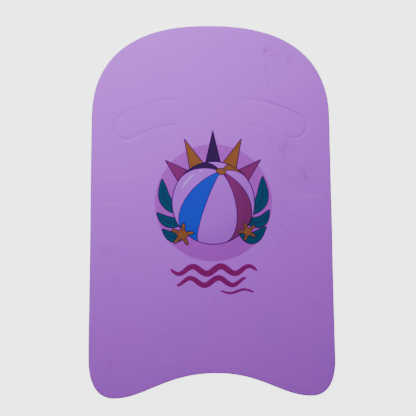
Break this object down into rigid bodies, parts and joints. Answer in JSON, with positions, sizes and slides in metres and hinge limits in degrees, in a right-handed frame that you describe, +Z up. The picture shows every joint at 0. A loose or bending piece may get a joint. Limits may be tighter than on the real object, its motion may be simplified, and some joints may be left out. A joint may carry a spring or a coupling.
{
  "type": "foam kickboard",
  "caption": "Flat foam swimming kickboard with a rounded nose, a curved tail notch, push-out foam plugs in its bent hand slots, and a printed badge above wavy strokes.",
  "frame": {"origin": "middle of the board's lower face", "axes": "+Y along the board towards its rounded nose, +X to the board's right seen from above, +Z up out of the printed face"},
  "size_m": [0.2986, 0.45, 0.03],
  "materials": {
    "foam_skin": "matte",
    "foam_core": "matte",
    "print_pink": "satin",
    "print_magenta": "satin"
  },
  "bodies": {
    "board": {"bottom_sheet": "foam_skin", "core_sheet": "foam_core", "top_sheet": "foam_skin", "printed_badge": "print_pink", "printed_wave_upper": "print_magenta", "printed_wave_middle": "print_magenta", "printed_wave_lower": "print_magenta"},
    "left_plug": {"left_plug_bottom": "foam_skin", "left_plug_core": "foam_core", "left_plug_top": "foam_skin"},
    "right_plug": {"right_plug_bottom": "foam_skin", "right_plug_core": "foam_core", "right_plug_top": "foam_skin"}
  },
  "joints": [
    {"name": "left_plug_slide", "type": "slide", "parent": "board", "child": "left_plug", "axis": [0, 0, 1], "range_m": [0, 0.04]},
    {"name": "right_plug_slide", "type": "slide", "parent": "board", "child": "right_plug", "axis": [0, 0, 1], "range_m": [0, 0.04]}
  ]
}
